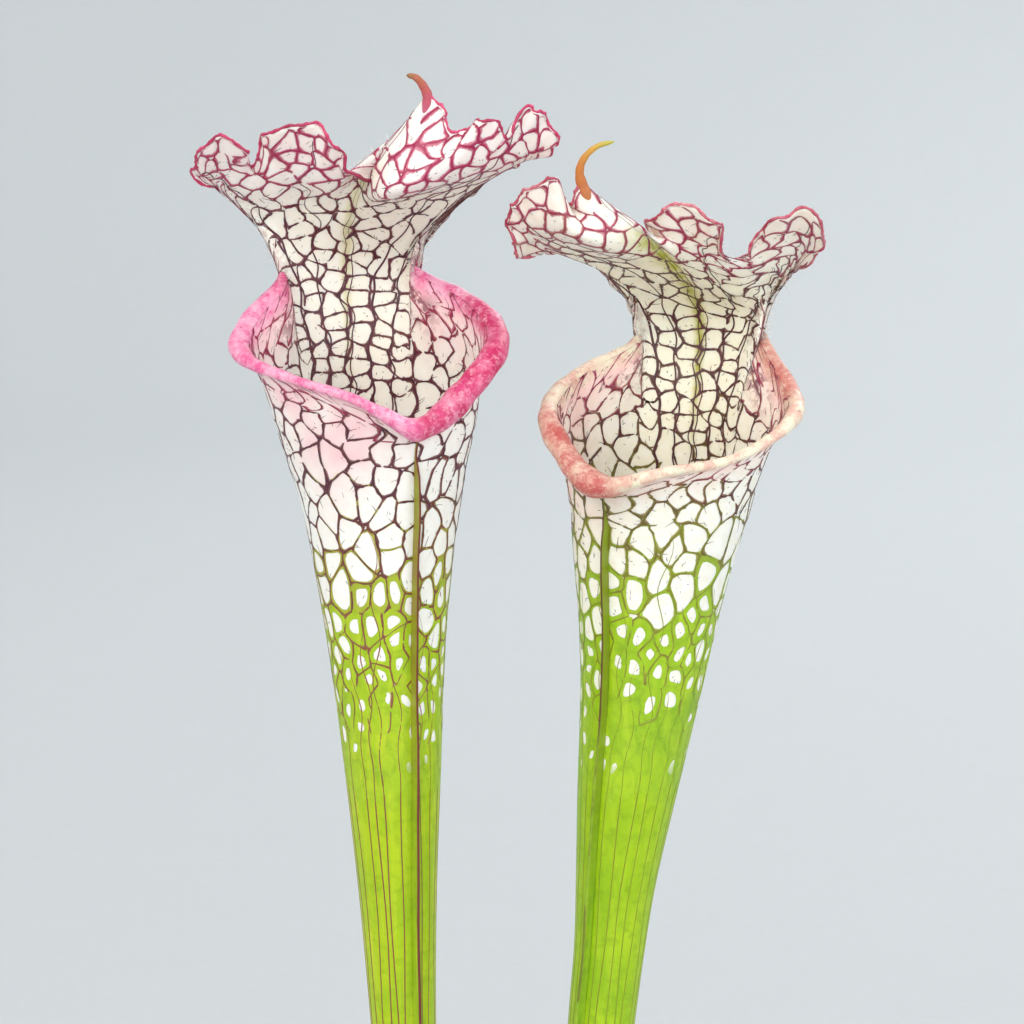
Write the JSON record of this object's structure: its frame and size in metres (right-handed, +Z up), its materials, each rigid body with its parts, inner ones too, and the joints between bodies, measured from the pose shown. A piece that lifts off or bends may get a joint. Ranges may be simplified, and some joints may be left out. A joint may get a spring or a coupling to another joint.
{
  "type": "potted pitcher plant",
  "caption": "Trumpet pitcher plant with tall tubular leaves, rolled lips and waved veined hoods, growing from a creeping rhizome in peat in a round pot.",
  "frame": {"origin": "middle of the pot's flat underside", "axes": "+Z up along the plant, the mouths of the pitchers face -Y, +X to the viewer's right"},
  "size_m": [0.1302, 0.1226, 0.4217],
  "materials": {
    "pot": "matte",
    "soil": "damp peat with perlite",
    "rhizome": "rough",
    "pitcher_left": "leaf, white windows in a dark red net, pink lip, green below",
    "pitcher_right": "leaf, white windows in a dark red net, cream lip, green below"
  },
  "bodies": {
    "root": {"pot": "pot", "soil": "soil", "rhizome": "rhizome", "pitcher_left": "pitcher_left", "pitcher_right": "pitcher_right"}
  },
  "joints": []
}
